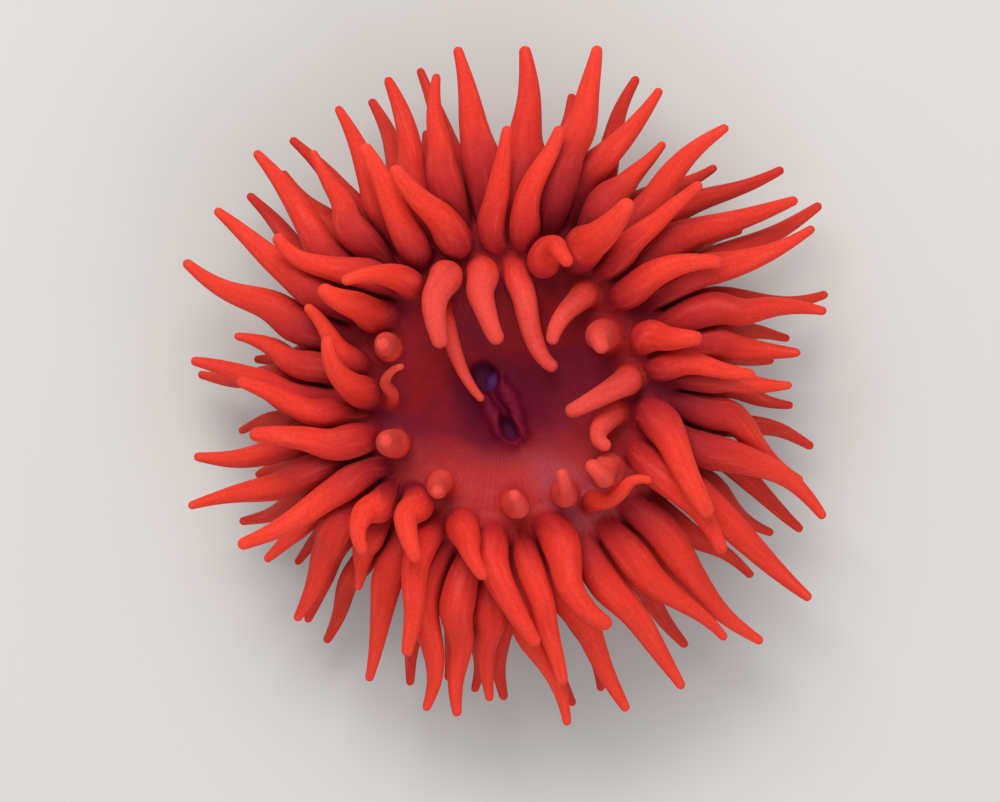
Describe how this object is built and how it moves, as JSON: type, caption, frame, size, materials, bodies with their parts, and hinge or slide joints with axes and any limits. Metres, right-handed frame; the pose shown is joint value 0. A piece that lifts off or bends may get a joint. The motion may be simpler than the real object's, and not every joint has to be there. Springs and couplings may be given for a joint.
{
  "type": "beadlet anemone",
  "caption": "Life-size still model of an open beadlet anemone: low column on a flat foot, beaded collar, bowl-shaped oral disc with a mouth, and circles of tapering tentacles.",
  "frame": {"origin": "middle of the flat foot, on the surface the animal grips", "axes": "+Z up through the mouth, away from the foot; +Y and +X level, with the mouth slit running from lower right (azimuth 297 degrees) to upper left (117 degrees) as seen from above with +Y up"},
  "size_m": [0.0688, 0.0722, 0.031],
  "materials": {
    "foot": "moist flesh, dark red",
    "column": "smooth moist flesh, dark red",
    "collar": "moist flesh, red, with blue stinging beads",
    "disc": "moist flesh, crimson, finely rayed",
    "lips": "moist flesh, purple maroon",
    "tentacles": "soft translucent flesh, orange red"
  },
  "bodies": {
    "root": {"foot": "foot", "column": "column", "collar": "collar", "oral_disc": "disc", "lips": "lips", "tentacles_inner_01": "tentacles", "tentacles_inner_02": "tentacles", "tentacles_inner_03": "tentacles", "tentacles_inner_04": "tentacles", "tentacles_inner_05": "tentacles", "tentacles_inner_06": "tentacles", "tentacles_inner_07": "tentacles", "tentacles_inner_08": "tentacles", "tentacles_inner_09": "tentacles", "tentacles_inner_10": "tentacles", "tentacles_inner_11": "tentacles", "tentacles_inner_12": "tentacles", "tentacles_second_01": "tentacles", "tentacles_second_02": "tentacles", "tentacles_second_03": "tentacles", "tentacles_second_04": "tentacles", "tentacles_second_05": "tentacles", "tentacles_second_06": "tentacles", "tentacles_second_07": "tentacles", "tentacles_second_08": "tentacles", "tentacles_second_09": "tentacles", "tentacles_second_10": "tentacles", "tentacles_second_11": "tentacles", "tentacles_second_12": "tentacles", "tentacles_third_01": "tentacles", "tentacles_third_02": "tentacles", "tentacles_third_03": "tentacles", "tentacles_third_04": "tentacles", "tentacles_third_05": "tentacles", "tentacles_third_06": "tentacles", "tentacles_third_07": "tentacles", "tentacles_third_08": "tentacles", "tentacles_third_09": "tentacles", "tentacles_third_10": "tentacles", "tentacles_third_11": "tentacles", "tentacles_third_12": "tentacles", "tentacles_outer_01": "tentacles", "tentacles_outer_02": "tentacles", "tentacles_outer_03": "tentacles", "tentacles_outer_04": "tentacles", "tentacles_outer_05": "tentacles", "tentacles_outer_06": "tentacles", "tentacles_outer_07": "tentacles", "tentacles_outer_08": "tentacles", "tentacles_outer_09": "tentacles", "tentacles_outer_10": "tentacles", "tentacles_outer_11": "tentacles", "tentacles_outer_12": "tentacles"}
  },
  "joints": []
}
